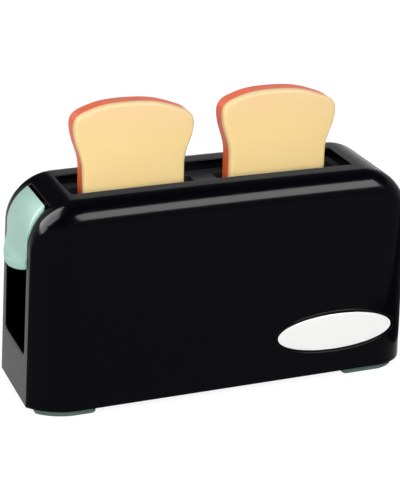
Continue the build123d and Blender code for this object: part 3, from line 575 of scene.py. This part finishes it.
# Grey ABS with a low sheen, bright drawn wire, rods blackened so that they don't glint in the
# window, and matt rubber, each with a fine grain that softens what it mirrors.
grey_abs, _ = new_material("grey_abs", Base_Color=srgb("8e9092"), Roughness=0.4, IOR=1.5)
steel, _ = new_material("drawn_steel", Base_Color=srgb("c4c4c6"), Metallic=1.0, Roughness=0.28)
blackened, _ = new_material("blackened_steel", Base_Color=srgb("141415"), Roughness=0.65, IOR=1.15)
rubber, _ = new_material("black_rubber", Base_Color=srgb("161616"), Roughness=0.7)
for material in (grey_abs, steel, blackened, rubber):
    shader = material.node_tree.nodes["Principled BSDF"]
    place = add_node(material, "ShaderNodeTexCoord")
    grain = add_node(material, "ShaderNodeTexNoise", {"Vector": place.outputs["Object"]},
                     Scale=1 / (FINE_GRAIN * MM), Detail=4.0)
    bump = add_node(material, "ShaderNodeBump", {"Height": grain.outputs["Fac"]},
                    Strength=0.2, Distance=0.04 * MM)
    join(material, bump.outputs["Normal"], shader.inputs["Normal"])

finish_node("carriage", grey_abs)
for end in ("left", "right"):
    finish_node(f"guide_rod_{end}", blackened)
    spring = finish_node(f"spring_{end}", steel, degrees=70)
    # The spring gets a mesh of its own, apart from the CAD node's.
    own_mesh(spring)
    finish_node(f"buffer_{end}", rubber)
for screws in ("base_screws", "guide_screws", "lever_screws"):
    finish_node(screws, steel)


# ------------------------------------------------------------------ the slices
# Each slice is two mouldings pressed together on pegs: a cream front with a rounded edge and an
# orange-red back, both with a soft satin finish.

PINK_Z = (125.0, 152.0)      # from where to where the cream turns pinker
SLICE_CLOUD = 18.0
SLICE_GRAIN = 0.9

# Cream and orange-red ABS, both a little see-through, which softens the shade along their edges.
cream_abs, cream_shader = new_material(
    "cream_abs", Base_Color=srgb("f3d595"), Roughness=0.42, IOR=1.17, Subsurface_Weight=0.08,
    Subsurface_Radius=(1.0, 0.8, 0.5), Subsurface_Scale=1.5 * MM)
orange_abs, orange_shader = new_material(
    "orange_abs", Base_Color=srgb("ed6436"), Roughness=0.4, IOR=1.25, Subsurface_Weight=0.08,
    Subsurface_Radius=(1.0, 0.5, 0.3), Subsurface_Scale=1.5 * MM)
for material, shader, darker, lighter in (
        (cream_abs, cream_shader, "f2d38e", "f4d79d"),
        (orange_abs, orange_shader, "ea5a2c", "f06e40")):
    place = add_node(material, "ShaderNodeTexCoord")
    cloud = add_node(material, "ShaderNodeTexNoise", {"Vector": place.outputs["Object"]},
                     Scale=1 / (SLICE_CLOUD * MM), Detail=2.0)
    tint = add_node(material, "ShaderNodeMix", {"Factor": cloud.outputs["Fac"]}, data_type="RGBA")
    tint.inputs[COLOUR_A].default_value = srgb(darker)
    tint.inputs[COLOUR_B].default_value = srgb(lighter)
    join(material, tint.outputs[COLOUR_OUT], shader.inputs["Base Color"])
    grain = add_node(material, "ShaderNodeTexNoise", {"Vector": place.outputs["Object"]},
                     Scale=1 / (SLICE_GRAIN * MM), Detail=3.0)
    bump = add_node(material, "ShaderNodeBump", {"Height": grain.outputs["Fac"]},
                    Strength=0.2, Distance=0.05 * MM)
    join(material, bump.outputs["Normal"], shader.inputs["Normal"])

# The cream turns a little pinker towards the top of a slice.
clouded = cream_shader.inputs["Base Color"].links[0].from_socket
place = add_node(cream_abs, "ShaderNodeTexCoord")
height = add_node(cream_abs, "ShaderNodeSeparateXYZ", {"Vector": place.outputs["Object"]})
fade = add_node(cream_abs, "ShaderNodeMapRange", {"Value": height.outputs["Z"]},
                From_Min=PINK_Z[0] * MM, From_Max=PINK_Z[1] * MM)
pinker = add_node(cream_abs, "ShaderNodeMix", {"Factor": fade.outputs["Result"], COLOUR_A: clouded},
                  data_type="RGBA")
pinker.inputs[COLOUR_B].default_value = srgb("f1cd9f")
join(cream_abs, pinker.outputs[COLOUR_OUT], cream_shader.inputs["Base Color"])

# The slices don't show in the gloss of the shell's top.
for end in ("left", "right"):
    for half, material in (("crumb", cream_abs), ("crust", orange_abs)):
        finish_node(f"{half}_{end}", material).visible_glossy = False


# ------------------------------------------------------------------ table, backdrop and lights
# A white paper table that sweeps up into a round backdrop, 3 m away and 1.6 m high. Four plain
# lamps light the object, and two large softboxes make the highlights of its gloss.

FLOOR_R = 3.0                # metres, as are all sizes of this section
FLAT_R = 0.5                 # first ring of the floor round its middle
BACKDROP_R = 0.3             # of the sweep between floor and backdrop
BACKDROP_H = 1.6
FLOOR_RINGS = 5
SWEEP_ROWS = 9
BACKDROP_COLUMNS = 96
PAPER_GLOW = 0.85
LAMP_DISTANCE = 1.4
LAMP_AIM_Z = 0.06
CARD_AZIMUTH = (175, 200)    # of the standing card, in degrees, at 1 m
CARD_Z = (0.02, 1.0)
CARD_X = (0.12, 0.9)         # of the lying card
CARD_Y = (-0.12, 0.5)
CARD_LIFT = 0.0005           # of the lying card over the table
CARD_COLUMNS = 9
SKY_STRENGTH = 0.25

# White paper: its own shade of grey takes the shadow, and its glow makes it white to the eye.
paper, shader = new_material("white_paper", Base_Color=srgb("8c8c8c"), Roughness=0.9, Specular_IOR_Level=0.1,
                             Emission_Color=(1, 1, 1, 1))
rays = add_node(paper, "ShaderNodeLightPath").outputs
direct = add_node(paper, "ShaderNodeMath", {0: rays["Is Camera Ray"], 1: rays["Is Glossy Ray"]},
                  operation="MAXIMUM")
seen = add_node(paper, "ShaderNodeMath", {0: direct.outputs[0], 1: rays["Is Transmission Ray"]},
                operation="MAXIMUM")
glow = add_node(paper, "ShaderNodeMath", {0: seen.outputs[0]}, operation="MULTIPLY")
glow.inputs[1].default_value = PAPER_GLOW
join(paper, glow.outputs[0], shader.inputs["Emission Strength"])

rise = np.linspace(0, math.pi / 2, SWEEP_ROWS)
ring_r = np.concatenate([[MM], np.linspace(FLAT_R, FLOOR_R - BACKDROP_R, FLOOR_RINGS)[:-1],
                         FLOOR_R - BACKDROP_R + BACKDROP_R * np.sin(rise), [FLOOR_R]])
ring_z = np.concatenate([np.zeros(FLOOR_RINGS), BACKDROP_R * (1 - np.cos(rise)), [BACKDROP_H]])
around = np.linspace(0, 2 * math.pi, BACKDROP_COLUMNS + 1)[:-1]
sweep = np.stack(np.broadcast_arrays(
    ring_r[:, None] * np.cos(around), ring_r[:, None] * np.sin(around), ring_z[:, None]), axis=-1)
backdrop = add_piece("table_and_backdrop", grid_mesh("table_and_backdrop", sweep / MM), paper)
for polygon in backdrop.data.polygons:
    polygon.use_smooth = True


def soft_light(name, azimuth, elevation, width, height, radiance, only_gloss):
    """A rectangle of even radiance, which the object sees at an azimuth and elevation in degrees."""
    data = bpy.data.lights.new(name, "AREA")
    data.shape = "RECTANGLE"
    data.size, data.size_y = width, height
    data.energy = radiance * math.pi * width * height
    lamp = bpy.data.objects.new(name, data)
    turn, tilt = math.radians(azimuth), math.radians(elevation)
    way = Vector((math.sin(turn) * math.cos(tilt), -math.cos(turn) * math.cos(tilt), math.sin(tilt)))
    lamp.location = Vector((0, 0, LAMP_AIM_Z)) + way * LAMP_DISTANCE
    lamp.rotation_mode = "QUATERNION"
    lamp.rotation_quaternion = way.to_track_quat("Z", "Y")
    lamp.visible_diffuse = not only_gloss
    lamp.visible_glossy = only_gloss
    bpy.context.scene.collection.objects.link(lamp)


soft_light("key", azimuth=0, elevation=26, width=1.4, height=0.9,
           radiance=3.85, only_gloss=False)
soft_light("left_fill", azimuth=-62, elevation=18, width=1.0, height=0.8,
           radiance=4.1, only_gloss=False)
soft_light("back_fill", azimuth=165, elevation=30, width=1.0, height=1.0,
           radiance=2.4, only_gloss=False)
soft_light("top_fill", azimuth=0, elevation=80, width=1.2, height=1.0,
           radiance=0.6, only_gloss=False)
soft_light("front_softbox", azimuth=30, elevation=42, width=0.98, height=0.7,
           radiance=38, only_gloss=True)
soft_light("left_softbox", azimuth=-113, elevation=42, width=1.25, height=1.1,
           radiance=32, only_gloss=True)

# Two dark cards, which only the gloss shows, keep the black from greying: one stands behind on
# the left, between the backdrop and the softbox, and one lies on the table beside the right end.
card_turn = np.radians(np.linspace(*CARD_AZIMUTH, CARD_COLUMNS))
standing = np.stack([
    np.stack([np.sin(card_turn), -np.cos(card_turn), np.full_like(card_turn, z)], axis=-1) for z in CARD_Z])
lying = np.stack(np.meshgrid(CARD_X, CARD_Y, [CARD_LIFT], indexing="ij"), axis=-1).reshape(2, 2, 3)

# Black card: matt, so that where the gloss shows it the plastic stays dark.
dark_card, _ = new_material("dark_card", Base_Color=srgb("101010"), Roughness=0.9)
for name, rows in (("standing_card", standing), ("lying_card", lying)):
    count = rows.shape[1]
    card_mesh = bpy.data.meshes.new(name)
    card_mesh.from_pydata(rows.reshape(-1, 3).tolist(), [],
                          [(i, i + 1, i + 1 + count, i + count) for i in range(count - 1)])
    card = add_piece(name, card_mesh, dark_card)
    card.visible_camera = card.visible_diffuse = card.visible_shadow = False

world = bpy.data.worlds.new("even_sky")
world.use_nodes = True
bpy.context.scene.world = world
world.node_tree.nodes["Background"].inputs["Color"].default_value = (1, 1, 1, 1)
world.node_tree.nodes["Background"].inputs["Strength"].default_value = SKY_STRENGTH


# ------------------------------------------------------------------ camera
# It looks down at the front from the lever's side, a little rolled. Its lens is long, so that the
# far end of the shell is little smaller than the near one.

CAMERA_AZIMUTH = math.radians(-21.807)
CAMERA_ELEVATION = math.radians(22.355)
CAMERA_ROLL = math.radians(1.676)
CAMERA_DISTANCE = 0.8026
CAMERA_AIM = Vector((-0.00402, 0, 0.06497))
FOCAL_PIXELS = 1623.86       # in a frame PICTURE_HEIGHT pixels high
PICTURE_HEIGHT = 498
SENSOR_WIDTH = 36            # mm

back = Vector((math.sin(CAMERA_AZIMUTH) * math.cos(CAMERA_ELEVATION),
               -math.cos(CAMERA_AZIMUTH) * math.cos(CAMERA_ELEVATION), math.sin(CAMERA_ELEVATION)))
right = Vector((0, 0, 1)).cross(back).normalized()
up = back.cross(right)
rolled_right = right * math.cos(CAMERA_ROLL) + up * math.sin(CAMERA_ROLL)
rolled_up = up * math.cos(CAMERA_ROLL) - right * math.sin(CAMERA_ROLL)
camera_data = bpy.data.cameras.new("camera")
camera_data.sensor_width = SENSOR_WIDTH
camera_data.lens = FOCAL_PIXELS * camera_data.sensor_width / PICTURE_HEIGHT
camera_data.clip_start, camera_data.clip_end = 0.01, 10
camera = bpy.data.objects.new("camera", camera_data)
camera.matrix_world = Matrix.Translation(CAMERA_AIM + back * CAMERA_DISTANCE) @ Matrix(
    (rolled_right, rolled_up, back)).transposed().to_4x4()
bpy.context.scene.collection.objects.link(camera)
bpy.context.scene.camera = camera
bpy.context.scene.view_settings.view_transform = "Standard"
